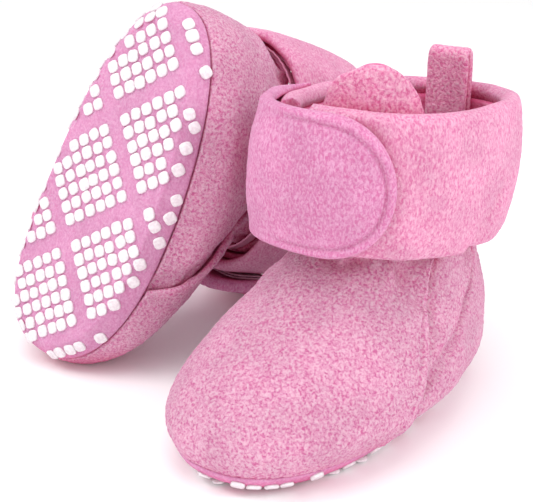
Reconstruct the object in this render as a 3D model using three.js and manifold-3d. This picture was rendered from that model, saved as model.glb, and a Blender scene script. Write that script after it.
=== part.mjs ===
// A pair of padded fleece baby booties with a wrap strap round the ankle.
//
// Each bootie is drawn in its own frame, in millimetres: it stands on z = 0, its toe points to -Y and
// its outer side is +X on the left bootie and -X on the right one. The left bootie stands; the right
// one leans behind it on its toe and on the rim of its cuff.

import * as THREE from 'three';
import Module from 'manifold-3d';

const wasm = await Module();
wasm.setup();

// ---------------------------------------------------------------------------------------------------
// Driving dimensions, mm and degrees
// ---------------------------------------------------------------------------------------------------

const FOOT_LENGTH = 118;      // toe to heel, over the fleece
const FOOT_WIDTH = 64;        // across the ball of the foot, over the fleece
const ANKLE_HEIGHT = 50;      // where the upper is gathered to its narrowest
const ANKLE_TOP = 56;         // top edge of the vamp and the quarter

const FLEECE = 2.2;           // outer fleece
const LINING = 2.0;           // lining fleece
const FOAM = 3.0;             // midsole
const GRIP = 0.8;             // silicone print on the sole
const GAP = 0.3;              // clearance between two layers that lie on each other
const SEAM_HEIGHT = 6.5;      // how far the outsole wraps up the side

const VAMP_REAR_TOP = 12;     // rear edge of the vamp at the ankle, behind the middle of the foot
const VAMP_REAR_FOOT = -22;   // and where it meets the sole
const SEAM_STEP = 0.8;        // clearance between the vamp's rear edge and the quarter

const CUFF_BOTTOM = 49;       // hem of the cuff
const CUFF_HEIGHT = 40.5;     // hem to the rim
const HEM_TILT = 6;           // the ankle's edge and the hem are this much higher in front, lower behind
const RIM_TILT = 3.2;         // and the rim is by this much
const CUFF_THICKNESS = 3.6;   // padded band
const RIM_ROUND = 1;          // the band thins by this much at its rim
const CUFF_GROWTH = { side: 6.4, toe: 6.2, heel: 7.4 };      // hem outside the gathered ankle
const CUFF_BULGE = { side: 3, toe: 0.8, heel: 0.8 };         // its middle outside hem and rim
const RIM_FLARE = { side: 0, toe: 0.8, heel: 0.4, shift: 3.2 };

const STRAP_FACE = 2.2;       // outer layer of the strap
const STRAP_FACING = 1.6;     // inner layer of the strap
const PATCH = 0.7;            // hook or loop patch
const STRAP_HALF_HEIGHT = 18.4;
const STRAP_RISE = 0.8;       // the strap's middle above the middle of the cuff
const TAB_TIP_HALF = 3;       // half height of the flat end of the tab

const ELASTIC = 0.8;
const ELASTIC_SEAT = 0.8;     // clearance to the gathered fleece under it
const ELASTIC_HEIGHT = 4.5;

const TONGUE_FACE = 2.6;
const TONGUE_LINING = 2.0;
const TONGUE_TOP = 102.5;
const TONGUE_SHOULDER = 84;   // height of the tongue's side corners

const LOOP_WIDTH = 13;        // pull tab
const LOOP_THICKNESS = 5.4;
const LOOP_BOTTOM = 70;
const LOOP_TOP = 97.5;
const LOOP_CROWN = 3;         // rounding of its top corners

const GRIP_HALF_LENGTH = 16;  // rhombic patch of print, along the foot
const GRIP_HALF_WIDTH = 16.5;   // and across it
const GRIP_PERIOD = 41.5;       // from one patch to the next in a column
const GRIP_COLUMNS = [-28.7, -7.5, 13.7, 34.9];
const GRIP_BORDER = 1.2;      // bare fleece round the flat of the sole
const GRIP_SMALLEST = 75;     // a patch cut smaller than this area at the border is left out

// Angles round the foot, seen from above: 0 is the outer side, 90 the heel, -90 the toe.
const STRAP_ROOT = -148;      // where the strap leaves the band and its hinge line runs
const STRAP_LIFTED = -112;    // from here on the strap lies over the patches
const TAB_START = -88;        // where the tab's rounding starts
const TAB_TIP = -58;
const BAND_END = -100;        // the band's outer end, under the tab
const BAND_ROOT = -128;       // the band's inner end, under the strap's root
const PATCH_FROM = -94;
const PATCH_TO = -70;
const TONGUE_MIDDLE = -68;
const TONGUE_SPREAD = 40;
const LINING_GAP = 6;         // half the slit in the cuff lining, at the band's open end

// How the leaning bootie is turned and placed; its pitch follows from its two points of rest
const LEAN = { roll: -14, yaw: 175, steepest: 95, flattest: 135 };
const LEAN_STEPS = 24;        // halvings that find the pitch
const PAIR_CLEARANCE = 1;     // between the two booties, side by side
const PAIR_ADVANCE = 20;      // the leaning bootie's middle is this far in front of the standing one's

// ---------------------------------------------------------------------------------------------------
// Shape of the foot: sections by height
// ---------------------------------------------------------------------------------------------------

// Insets from the overall length and width, and the place of the widest point.
const SOLE_BOTTOM = GRIP + GAP;
const SECTIONS = [
  { z: SOLE_BOTTOM, toe: 5.5, heel: 6.5, side: 10.5, widest: -11, shift: 0 },
  { z: 3.5, toe: 2, heel: 2.6, side: 8, widest: -11, shift: 0 },
  { z: SEAM_HEIGHT, toe: 0.4, heel: 1, side: 5.6, widest: -12, shift: 0 },
  { z: 14, toe: 0, heel: 0, side: 0, widest: -5, shift: 0 },
  { z: 24, toe: 9.3, heel: 0, side: 1.3, widest: 1, shift: 0 },
  { z: 34, toe: 23.2, heel: 1.2, side: 5.6, widest: 12, shift: 0.3 },
  { z: 43, toe: 36.5, heel: 5.4, side: 9.2, widest: 18, shift: 1 },
  { z: ANKLE_HEIGHT, toe: 44, heel: 7.6, side: 11.6, widest: 21, shift: 2.2 },
  { z: ANKLE_TOP + HEM_TILT + 2, toe: 45.5, heel: 7.6, side: 11.6, widest: 21, shift: 2.8 },
];
const TOE_ROUNDNESS = 2.4;    // exponent of the super-ellipse in front of the widest point
const HEEL_ROUNDNESS = 2.2;
const TOE_SWING = -5;         // the tip of the toe lies towards the inner side
const SWING_START = 5;        // in front of this line the foot curves inward

const radians = THREE.MathUtils.degToRad;
const lerp = THREE.MathUtils.lerp;

class Form {
  // sections: [{ z, toeY, heelY, half, widest, shift }], from the bottom up
  constructor(sections, swing) {
    const values = sections.flatMap((s) => [s.toeY, s.heelY, s.half, s.widest, s.shift]);
    this.profile = new THREE.CubicInterpolant(sections.map((s) => s.z), values, 5);
    this.swing = swing;
  }

  at(z) {
    const [toeY, heelY, half, widest, shift] = this.profile.evaluate(z);
    return { toeY, heelY, half, widest, shift };
  }

  point(turn, z) {
    const section = this.at(z);
    const c = Math.cos(turn);
    const s = Math.sin(turn);
    const power = 2 / (s < 0 ? TOE_ROUNDNESS : HEEL_ROUNDNESS);
    const across = Math.sign(c) * Math.abs(c) ** power;
    const along = Math.sign(s) * Math.abs(s) ** power;
    const reach = s < 0 ? section.widest - section.toeY : section.heelY - section.widest;
    const y = section.widest + along * reach;
    const forward = Math.max(0, (SWING_START - y) / (SWING_START + FOOT_LENGTH / 2));
    return new THREE.Vector3(section.half * across + section.shift + this.swing * forward ** 2, y, z);
  }

  normal(turn, z) {
    const step = 0.02;
    const rise = 0.25;
    const tangent = this.point(turn + step, z).sub(this.point(turn - step, z));
    const up = this.point(turn, z + rise).sub(this.point(turn, z - rise));
    return tangent.cross(up).normalize();
  }

  // The point a distance out from the surface, along its normal; a negative distance goes in.
  offset(turn, z, distance) {
    return this.point(turn, z).addScaledVector(this.normal(turn, z), distance);
  }

  // The point at the same height on the surface that lies a distance outside this one.
  level(turn, z, distance) {
    const normal = this.normal(turn, z).setZ(0);
    return this.point(turn, z).addScaledVector(normal, distance / normal.lengthSq());
  }

  // The angle at which the outer side passes a line across the foot.
  turnAt(z, y) {
    const section = this.at(z);
    const end = y > section.widest ? section.heelY : section.toeY;
    const along = (y - section.widest) / (end - section.widest);
    const power = (y > section.widest ? HEEL_ROUNDNESS : TOE_ROUNDNESS) / 2;
    return Math.sign(y - section.widest) * Math.asin(Math.min(1, Math.max(0, along) ** power));
  }
}

const foot = new Form(SECTIONS.map((s) => ({
  z: s.z,
  toeY: -FOOT_LENGTH / 2 + s.toe,
  heelY: FOOT_LENGTH / 2 - s.heel,
  half: FOOT_WIDTH / 2 - s.side,
  widest: s.widest,
  shift: s.shift,
})), TOE_SWING);

const ankle = foot.at(ANKLE_HEIGHT);
const RIM_HEIGHT = CUFF_BOTTOM + CUFF_HEIGHT;
// Section of the cuff at a part of its height, 0 at the hem and 1 at the rim.
function cuffSection(part) {
  const bulge = 1 - Math.abs(2 * part - 1);
  return {
    z: lerp(CUFF_BOTTOM - HEM_TILT, RIM_HEIGHT + RIM_TILT, part),
    toeY: ankle.toeY - CUFF_GROWTH.toe - part * RIM_FLARE.toe - bulge * CUFF_BULGE.toe,
    heelY: ankle.heelY + CUFF_GROWTH.heel + part * RIM_FLARE.heel + bulge * CUFF_BULGE.heel,
    half: ankle.half + CUFF_GROWTH.side + part * RIM_FLARE.side + bulge * CUFF_BULGE.side,
    widest: ankle.widest,
    shift: ankle.shift + part * RIM_FLARE.shift,
  };
}
const cuff = new Form([0, 0.25, 0.5, 0.75, 1].map(cuffSection), 0);

// Heights at an angle: the rim, the hem of the cuff and the top edge of the vamp and the quarter.
const rimAt = (turn) => RIM_HEIGHT - RIM_TILT * Math.sin(turn);
const hemAt = (turn) => CUFF_BOTTOM - HEM_TILT * Math.sin(turn);
const ankleTopAt = (turn) => ANKLE_TOP - HEM_TILT * Math.sin(turn);

// ---------------------------------------------------------------------------------------------------
// Solids
// ---------------------------------------------------------------------------------------------------

function geometryFrom(points, triangles, mirrored) {
  const geometry = new THREE.BufferGeometry();
  const flip = mirrored ? -1 : 1;
  const positions = points.flatMap((p) => [p.x * flip, p.y, p.z]);
  const index = mirrored ? triangles.flatMap(([a, b, c]) => [a, c, b]) : triangles.flat();
  geometry.setAttribute('position', new THREE.Float32BufferAttribute(positions, 3));
  geometry.setIndex(index);
  geometry.computeVertexNormals();
  return geometry;
}

// A wall from a grid of columns; each grid point has an outer and an inner end.
function wallGeometry(grid, closed, mirrored) {
  const columns = grid.length;
  const rows = grid[0].length;
  const count = columns * rows;
  const points = [...grid.flat().map((cell) => cell.outer), ...grid.flat().map((cell) => cell.inner)];
  const outer = (i, j) => (i % columns) * rows + j;
  const inner = (i, j) => count + outer(i, j);
  const triangles = [];
  const quad = (a, b, c, d) => triangles.push([a, b, c], [a, c, d]);
  const spans = closed ? columns : columns - 1;
  for (let i = 0; i < spans; i += 1) {
    for (let j = 0; j < rows - 1; j += 1) {
      quad(outer(i, j), outer(i + 1, j), outer(i + 1, j + 1), outer(i, j + 1));
      quad(inner(i, j), inner(i, j + 1), inner(i + 1, j + 1), inner(i + 1, j));
    }
    quad(inner(i, 0), inner(i + 1, 0), outer(i + 1, 0), outer(i, 0));
    quad(outer(i, rows - 1), outer(i + 1, rows - 1), inner(i + 1, rows - 1), inner(i, rows - 1));
  }
  if (!closed) {
    const last = columns - 1;
    for (let j = 0; j < rows - 1; j += 1) {
      quad(inner(0, j), outer(0, j), outer(0, j + 1), inner(0, j + 1));
      quad(outer(last, j), inner(last, j), inner(last, j + 1), outer(last, j + 1));
    }
  }
  return geometryFrom(points, triangles, mirrored);
}

// A solid from a stack of rings, each ring counter-clockwise seen from above, capped at both ends.
function stackGeometry(rings, mirrored) {
  const size = rings[0].length;
  const centre = (ring) => ring.reduce((sum, p) => sum.add(p), new THREE.Vector3()).divideScalar(size);
  const points = [...rings.flat(), centre(rings[0]), centre(rings[rings.length - 1])];
  const first = rings.length * size;
  const top = (rings.length - 1) * size;
  const triangles = [];
  for (let i = 0; i < size; i += 1) {
    const next = (i + 1) % size;
    for (let k = 0; k < rings.length - 1; k += 1) {
      const low = k * size;
      const high = low + size;
      triangles.push([low + i, low + next, high + next], [low + i, high + next, high + i]);
    }
    triangles.push([first, next, i], [first + 1, top + i, top + next]);
  }
  return geometryFrom(points, triangles, mirrored);
}

// A level ring of points, a distance outside a form.
const ring = (form, z, distance, count) => Array.from({ length: count }, (_, i) => (
  form.level((i / count) * 2 * Math.PI, z, distance)
));

// A wall on a form. edges(v) gives its two end angles at the height fraction v; low and high give its
// bottom and top height at an angle.
function patchOn(form, { columns, rows, edges, low, high, outer, inner, closed = false, mirrored }) {
  const depth = (value, u, v) => (typeof value === 'function' ? value(u, v) : value);
  const grid = [];
  const stations = closed ? columns : columns + 1;
  for (let i = 0; i < stations; i += 1) {
    const u = i / columns;
    const column = [];
    for (let j = 0; j <= rows; j += 1) {
      const v = j / rows;
      const [from, to] = edges(v);
      const turn = lerp(from, to, u);
      const z = lerp(low(turn, u), high(turn, u), v);
      column.push({
        outer: form.offset(turn, z, depth(outer, u, v)),
        inner: form.offset(turn, z, depth(inner, u, v)),
      });
    }
    grid.push(column);
  }
  return wallGeometry(grid, closed, mirrored);
}

// ---------------------------------------------------------------------------------------------------
// Materials
// ---------------------------------------------------------------------------------------------------

const cloth = (color, roughness = 0.95) => (
  new THREE.MeshStandardMaterial({ color, roughness, metalness: 0 })
);
const finishes = {
  sole: cloth(0xe08cb9),
  foam: cloth(0xf4f0ea, 0.9),
  vamp: cloth(0xee9fc0),
  quarter: cloth(0xf0a6c6),
  lining: cloth(0xf08fb8),
  tongue: cloth(0xee80ae),
  band: cloth(0xf0a8c6),
  strap: cloth(0xe8a5cc),
  elastic: cloth(0xf6f0f2, 0.8),
  patch: cloth(0xf0b8d0, 0.7),
  grip: cloth(0xfbf5f8, 0.45),
};

const named = (name, geometry, finish) => {
  const mesh = new THREE.Mesh(geometry, finishes[finish]);
  mesh.name = name;
  return mesh;
};

// ---------------------------------------------------------------------------------------------------
// Sole
// ---------------------------------------------------------------------------------------------------

const SOLE_POINTS = 30;
const LINER_DEPTH = FLEECE + GAP;                 // from the outer face to the lining
const INSIDE = LINER_DEPTH + LINING;              // from the outer face to the foot
const SOLE_TOP = SOLE_BOTTOM + FLEECE;
const FOAM_BOTTOM = SOLE_TOP + GAP;
const FOAM_TOP = FOAM_BOTTOM + FOAM;
const INSOLE_BOTTOM = FOAM_TOP + GAP;
const LINING_BOTTOM = Math.max(INSOLE_BOTTOM, SEAM_HEIGHT + GAP);

function outsole(mirrored) {
  const heights = [SOLE_BOTTOM, lerp(SOLE_BOTTOM, SEAM_HEIGHT, 0.4), SEAM_HEIGHT];
  const outside = heights.map((z) => ring(foot, z, 0, SOLE_POINTS));
  const inner = [SEAM_HEIGHT, lerp(SOLE_TOP, SEAM_HEIGHT, 0.4), SOLE_TOP];
  const inside = inner.map((z) => ring(foot, z, -FLEECE, SOLE_POINTS));
  return stackGeometry([...outside, ...inside], mirrored);
}

function slab(low, high, depth, mirrored) {
  const rings = [low, high].map((z) => ring(foot, z, -depth, SOLE_POINTS));
  return stackGeometry(rings, mirrored);
}

// A manifold of a closed, welded geometry, and back.
function solidOf(geometry) {
  const vertProperties = new Float32Array(geometry.getAttribute('position').array);
  const triVerts = new Uint32Array(geometry.getIndex().array);
  return new wasm.Manifold(new wasm.Mesh({ numProp: 3, vertProperties, triVerts }));
}

function geometryOf(solid) {
  const mesh = solid.getMesh();
  const geometry = new THREE.BufferGeometry();
  geometry.setAttribute('position', new THREE.Float32BufferAttribute(mesh.vertProperties, 3));
  geometry.setIndex([...mesh.triVerts]);
  geometry.computeVertexNormals();
  return geometry;
}

// The rhombic patches of print that fall on the flat of the sole, cut off at its border.
function gripPatches(mirrored) {
  const border = foot.at(SOLE_BOTTOM);
  const flat = [0, GRIP].map((z) => (
    ring(foot, SOLE_BOTTOM, -GRIP_BORDER, SOLE_POINTS).map((p) => p.setZ(z))
  ));
  const field = solidOf(stackGeometry(flat, mirrored));
  const flip = mirrored ? -1 : 1;
  const patches = [];
  GRIP_COLUMNS.forEach((x, column) => {
    const stagger = column % 2 === 0 ? GRIP_PERIOD / 2 : 0;
    const reach = Math.ceil((border.heelY - border.toeY) / (2 * GRIP_PERIOD)) + 1;
    for (let row = -reach; row <= reach; row += 1) {
      const y = row * GRIP_PERIOD + stagger;
      const corners = [
        [GRIP_HALF_WIDTH, 0],
        [0, GRIP_HALF_LENGTH],
        [-GRIP_HALF_WIDTH, 0],
        [0, -GRIP_HALF_LENGTH],
      ];
      const rings = [0, GRIP].map((z) => corners.map(([dx, dy]) => new THREE.Vector3(x + dx, y + dy, z)));
      const patch = solidOf(stackGeometry(rings, mirrored)).intersect(field);
      if (patch.volume() > GRIP_SMALLEST * GRIP) {
        patches.push({ x: x * flip, y, geometry: geometryOf(patch) });
      }
    }
  });
  return patches.sort((a, b) => a.y - b.y || a.x * flip - b.x * flip).map((patch) => patch.geometry);
}

// ---------------------------------------------------------------------------------------------------
// Upper
// ---------------------------------------------------------------------------------------------------

const FOOT_ROWS = 7;

// Angle of the vamp's rear edge on the outer side, a distance behind it, at a fraction of the height.
function seamTurn(bottom, v, behind) {
  const z = lerp(bottom, ANKLE_TOP, v);
  const rear = THREE.MathUtils.mapLinear(z, SEAM_HEIGHT, ANKLE_TOP, VAMP_REAR_FOOT, VAMP_REAR_TOP);
  return foot.turnAt(z, rear + behind);
}

// End angles of the vamp and of the quarter: from one rear edge round the toe or heel to the other.
function vampEdges(bottom) {
  return (v) => {
    const turn = seamTurn(bottom, v, 0);
    return [-Math.PI - turn, turn];
  };
}

function quarterEdges(bottom) {
  return (v) => {
    const turn = seamTurn(bottom, v, SEAM_STEP);
    return [turn, Math.PI - turn];
  };
}

function upperPiece({ columns, edges, bottom, outer, inner, mirrored }) {
  return patchOn(foot, {
    columns,
    rows: FOOT_ROWS,
    edges: edges(bottom),
    low: () => bottom,
    high: ankleTopAt,
    outer,
    inner,
    mirrored,
  });
}

function upper(mirrored) {
  const face = { bottom: SEAM_HEIGHT + GAP, outer: 0, inner: -FLEECE, mirrored };
  const liner = { bottom: LINING_BOTTOM, outer: -LINER_DEPTH, inner: -INSIDE, mirrored };
  return [
    ['vamp', upperPiece({ columns: 20, edges: vampEdges, ...face }), 'vamp'],
    ['vamp_lining', upperPiece({ columns: 16, edges: vampEdges, ...liner }), 'lining'],
    ['quarter', upperPiece({ columns: 10, edges: quarterEdges, ...face }), 'quarter'],
    ['quarter_lining', upperPiece({ columns: 10, edges: quarterEdges, ...liner }), 'lining'],
  ];
}

function ankleElastic(mirrored) {
  return patchOn(foot, {
    columns: 30,
    rows: 1,
    edges: () => [0, 2 * Math.PI],
    low: (turn) => ankleTopAt(turn) - ELASTIC_HEIGHT - GAP,
    high: (turn) => ankleTopAt(turn) - GAP,
    outer: ELASTIC_SEAT + ELASTIC,
    inner: ELASTIC_SEAT,
    closed: true,
    mirrored,
  });
}

// ---------------------------------------------------------------------------------------------------
// Cuff, strap, tongue and pull tab
// ---------------------------------------------------------------------------------------------------

const CUFF_LINING_DEPTH = CUFF_THICKNESS + 2 * GAP;
const CUFF_INSIDE = CUFF_LINING_DEPTH + LINING;

function cuffPieces(mirrored) {
  const band = patchOn(cuff, {
    columns: 28,
    rows: 4,
    edges: () => [radians(BAND_END), radians(BAND_ROOT + 360)],
    low: hemAt,
    high: rimAt,
    outer: (u, v) => (v === 1 ? -RIM_ROUND : 0),
    inner: -CUFF_THICKNESS,
    mirrored,
  });
  const slit = (BAND_END + BAND_ROOT) / 2;
  const lining = patchOn(cuff, {
    columns: 26,
    rows: 3,
    edges: () => [radians(slit + LINING_GAP), radians(slit - LINING_GAP + 360)],
    low: (turn) => ankleTopAt(turn) + 2 * GAP,
    high: (turn) => rimAt(turn) - RIM_ROUND,
    outer: -CUFF_LINING_DEPTH,
    inner: -CUFF_INSIDE,
    mirrored,
  });
  return [['cuff_band', band, 'band'], ['cuff_lining', lining, 'lining']];
}

const LOOP_PATCH_OUT = GAP;
const HOOK_PATCH_OUT = LOOP_PATCH_OUT + PATCH + GAP;
const STRAP_OUT = HOOK_PATCH_OUT + PATCH + GAP;   // inner face of the strap over the patches
const STRAP_COLUMNS = 15;
const TAB_COLUMNS = 5;

// Angle of a strap column: even steps to the tab, then steps that follow its rounding.
function strapTurn(column) {
  const straight = STRAP_COLUMNS - TAB_COLUMNS;
  if (column <= straight) {
    return radians(lerp(STRAP_ROOT, TAB_START, column / straight));
  }
  return radians(lerp(TAB_START, TAB_TIP, Math.sin(((column - straight) / TAB_COLUMNS) * (Math.PI / 2))));
}

// Half height of the strap at an angle.
function strapHalf(turn) {
  const along = (THREE.MathUtils.radToDeg(turn) - TAB_START) / (TAB_TIP - TAB_START);
  const round = Math.sqrt(Math.max(0, 1 - Math.max(0, along) ** 2));
  return Math.max(TAB_TIP_HALF, STRAP_HALF_HEIGHT * round);
}

// Height of the strap's middle at an angle.
const strapMiddle = (turn) => (hemAt(turn) + rimAt(turn)) / 2 + STRAP_RISE;

// How far the strap's inner face stands off the band at an angle.
function strapLift(turn) {
  const along = (THREE.MathUtils.radToDeg(turn) - STRAP_ROOT) / (STRAP_LIFTED - STRAP_ROOT);
  return lerp(GAP, STRAP_OUT, THREE.MathUtils.smoothstep(along, 0.2, 1));
}

function strapLayer(from, to, mirrored) {
  const grid = [];
  const rows = 4;
  for (let i = 0; i <= STRAP_COLUMNS; i += 1) {
    const turn = strapTurn(i);
    const lift = strapLift(turn);
    const half = strapHalf(turn);
    const column = [];
    for (let j = 0; j <= rows; j += 1) {
      const z = strapMiddle(turn) + lerp(-half, half, j / rows);
      column.push({ outer: cuff.offset(turn, z, lift + to), inner: cuff.offset(turn, z, lift + from) });
    }
    grid.push(column);
  }
  return wallGeometry(grid, false, mirrored);
}

function closurePatch(from, mirrored) {
  const half = STRAP_HALF_HEIGHT / 2;
  return patchOn(cuff, {
    columns: 4,
    rows: 2,
    edges: () => [radians(PATCH_FROM), radians(PATCH_TO)],
    low: (turn) => strapMiddle(turn) - half,
    high: (turn) => strapMiddle(turn) + half,
    outer: from + PATCH,
    inner: from,
    mirrored,
  });
}

const TONGUE_OUT = -(CUFF_INSIDE + 2 * GAP);

function tongueLayer(outer, inner, columns, mirrored) {
  return patchOn(cuff, {
    columns,
    rows: 5,
    edges: () => [radians(TONGUE_MIDDLE - TONGUE_SPREAD), radians(TONGUE_MIDDLE + TONGUE_SPREAD)],
    low: (turn) => ankleTopAt(turn) + 3 * GAP,
    high: (turn, u) => lerp(TONGUE_SHOULDER, TONGUE_TOP, Math.sqrt(Math.max(0, 1 - (2 * u - 1) ** 2))),
    outer,
    inner,
    mirrored,
  });
}

function pullTab(mirrored) {
  const back = cuff.at(LOOP_BOTTOM);
  const half = LOOP_WIDTH / 2;
  const corner = (z) => cuff.offset(Math.PI / 2 - half / back.half, z, -CUFF_INSIDE).y;
  const seat = Math.min(corner(LOOP_BOTTOM), corner(RIM_HEIGHT - RIM_TILT));
  const y = seat - 3 * GAP - LOOP_THICKNESS / 2;
  const outline = new THREE.Shape();
  outline.moveTo(-half, LOOP_BOTTOM);
  outline.lineTo(half, LOOP_BOTTOM);
  outline.lineTo(half, LOOP_TOP - LOOP_CROWN);
  outline.absarc(half - LOOP_CROWN, LOOP_TOP - LOOP_CROWN, LOOP_CROWN, 0, Math.PI / 2, false);
  outline.absarc(-half + LOOP_CROWN, LOOP_TOP - LOOP_CROWN, LOOP_CROWN, Math.PI / 2, Math.PI, false);
  outline.closePath();
  const options = { depth: LOOP_THICKNESS, bevelEnabled: false, curveSegments: 4 };
  const geometry = new THREE.ExtrudeGeometry(outline, options);
  geometry.translate(back.shift * (mirrored ? -1 : 1), 0, -LOOP_THICKNESS / 2);
  geometry.rotateX(Math.PI / 2);
  geometry.translate(0, y, 0);
  return geometry;
}

// ---------------------------------------------------------------------------------------------------
// Assembly
// ---------------------------------------------------------------------------------------------------

function bootie(side) {
  const mirrored = side === 'right';
  const group = new THREE.Group();
  const add = (name, geometry, finish) => group.add(named(`${side}_${name}`, geometry, finish));

  add('outsole', outsole(mirrored), 'sole');
  gripPatches(mirrored).forEach((geometry, i) => add(`grip_patch_${i + 1}`, geometry, 'grip'));
  add('midsole', slab(FOAM_BOTTOM, FOAM_TOP, LINER_DEPTH + GAP, mirrored), 'foam');
  add('insole', slab(INSOLE_BOTTOM, INSOLE_BOTTOM + LINING, INSIDE + 3 * GAP, mirrored), 'lining');
  upper(mirrored).forEach((piece) => add(...piece));
  add('ankle_elastic', ankleElastic(mirrored), 'elastic');
  cuffPieces(mirrored).forEach((piece) => add(...piece));
  add('strap_facing', strapLayer(0, STRAP_FACING, mirrored), 'strap');
  const faceFrom = STRAP_FACING + GAP;
  add('strap', strapLayer(faceFrom, faceFrom + STRAP_FACE, mirrored), 'strap');
  add('loop_patch', closurePatch(LOOP_PATCH_OUT, mirrored), 'patch');
  add('hook_patch', closurePatch(HOOK_PATCH_OUT, mirrored), 'patch');
  const liningOut = TONGUE_OUT - TONGUE_FACE - GAP;
  add('tongue_face', tongueLayer(TONGUE_OUT, TONGUE_OUT - TONGUE_FACE, 10, mirrored), 'tongue');
  add('tongue_lining', tongueLayer(liningOut, liningOut - TONGUE_LINING, 8, mirrored), 'lining');
  add('pull_tab', pullTab(mirrored), 'tongue');
  return group;
}

// Corners of every mesh of a group, in the world.
function worldPoints(group) {
  group.updateMatrixWorld(true);
  const points = [];
  group.traverse((mesh) => {
    if (mesh.isMesh) {
      const position = mesh.geometry.getAttribute('position');
      for (let i = 0; i < position.count; i += 1) {
        points.push(new THREE.Vector3().fromBufferAttribute(position, i).applyMatrix4(mesh.matrixWorld));
      }
    }
  });
  return points;
}

// The pitch at which the toe and the shaft of a leaning bootie are equally low.
function restingPitch(points) {
  const toe = points.filter((p) => p.z < CUFF_BOTTOM);
  const shaft = points.filter((p) => p.z >= CUFF_BOTTOM);
  let { steepest, flattest } = LEAN;
  for (let i = 0; i < LEAN_STEPS; i += 1) {
    const pitch = (steepest + flattest) / 2;
    const turn = new THREE.Euler(radians(pitch), radians(LEAN.roll), radians(LEAN.yaw), 'ZYX');
    const lowest = (part) => Math.min(...part.map((p) => p.clone().applyEuler(turn).z));
    if (lowest(toe) < lowest(shaft)) {
      steepest = pitch;
    } else {
      flattest = pitch;
    }
  }
  return (steepest + flattest) / 2;
}

const leftBootie = bootie('left');
const rightBootie = bootie('right');
const pitch = radians(restingPitch(worldPoints(rightBootie)));
rightBootie.rotation.set(pitch, radians(LEAN.roll), radians(LEAN.yaw), 'ZYX');
const standing = worldPoints(leftBootie);
const leaning = worldPoints(rightBootie);
rightBootie.position.set(
  Math.min(...standing.map((p) => p.x)) - PAIR_CLEARANCE - Math.max(...leaning.map((p) => p.x)),
  -PAIR_ADVANCE,
  -Math.min(...leaning.map((p) => p.z)),
);

const group = new THREE.Group();
group.add(leftBootie, rightBootie);

export default group;
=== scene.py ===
"""A pair of padded fleece baby booties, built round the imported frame.

Sizes are in millimetres up to the moment a mesh is made; meshes are in metres, in the row frame.
"""

import logging
import math
from dataclasses import dataclass
from enum import Enum
from typing import Optional, Sequence

import bmesh
import bpy
import numpy as np
from mathutils import Euler, Matrix, Vector, noise


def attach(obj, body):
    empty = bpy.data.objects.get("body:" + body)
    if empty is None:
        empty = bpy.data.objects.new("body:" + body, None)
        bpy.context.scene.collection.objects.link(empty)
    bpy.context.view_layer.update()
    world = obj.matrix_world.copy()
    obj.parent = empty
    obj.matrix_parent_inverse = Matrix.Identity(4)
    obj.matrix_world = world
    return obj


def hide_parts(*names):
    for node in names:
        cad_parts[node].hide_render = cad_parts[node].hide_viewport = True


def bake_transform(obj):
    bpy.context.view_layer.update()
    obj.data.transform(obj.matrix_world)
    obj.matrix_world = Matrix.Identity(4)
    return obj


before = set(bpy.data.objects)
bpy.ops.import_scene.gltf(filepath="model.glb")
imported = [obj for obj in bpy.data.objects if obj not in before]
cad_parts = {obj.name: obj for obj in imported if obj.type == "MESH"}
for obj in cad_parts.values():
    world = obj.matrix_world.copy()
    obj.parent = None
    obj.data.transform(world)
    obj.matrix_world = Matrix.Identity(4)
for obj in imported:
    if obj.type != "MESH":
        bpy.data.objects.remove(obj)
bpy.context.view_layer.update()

log = logging.getLogger("bootie")

MM = 0.001
FOOT_LENGTH = 118.0
FOOT_WIDTH = 64.0
ANKLE_TOP = 56.0
HEM_TILT = 6.0
RIM_TILT = 3.2
CUFF_BOTTOM = 49.0
RIM_HEIGHT = 89.5
SOLE_BOTTOM = 1.1
SEAM_HEIGHT = 6.5
FLEECE = 2.2
LINING = 2.0
GAP = 0.3
CUFF_THICKNESS = 3.6
CLOUD_SIZE = 0.014
# Painted shade: within HOLLOW_REACH metres of nearby surfaces, found by ambient occlusion, the fleece colour is
# multiplied towards the deep pink tint below.
HOLLOW_REACH = 0.014
HOLLOW_SHADE_TINT = "#FF8FBC"


class Side(Enum):
    """The standing bootie and the one that leans behind it."""

    LEFT = "left"
    RIGHT = "right"


class Pile(Enum):
    """How the nap of a fleece lies."""

    CURLED = "curled"
    BRUSHED = "brushed"
    PLUSH = "plush"


# ---------------------------------------------------------------------------------------------------
# Shape of the foot and of the cuff
# ---------------------------------------------------------------------------------------------------


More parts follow.
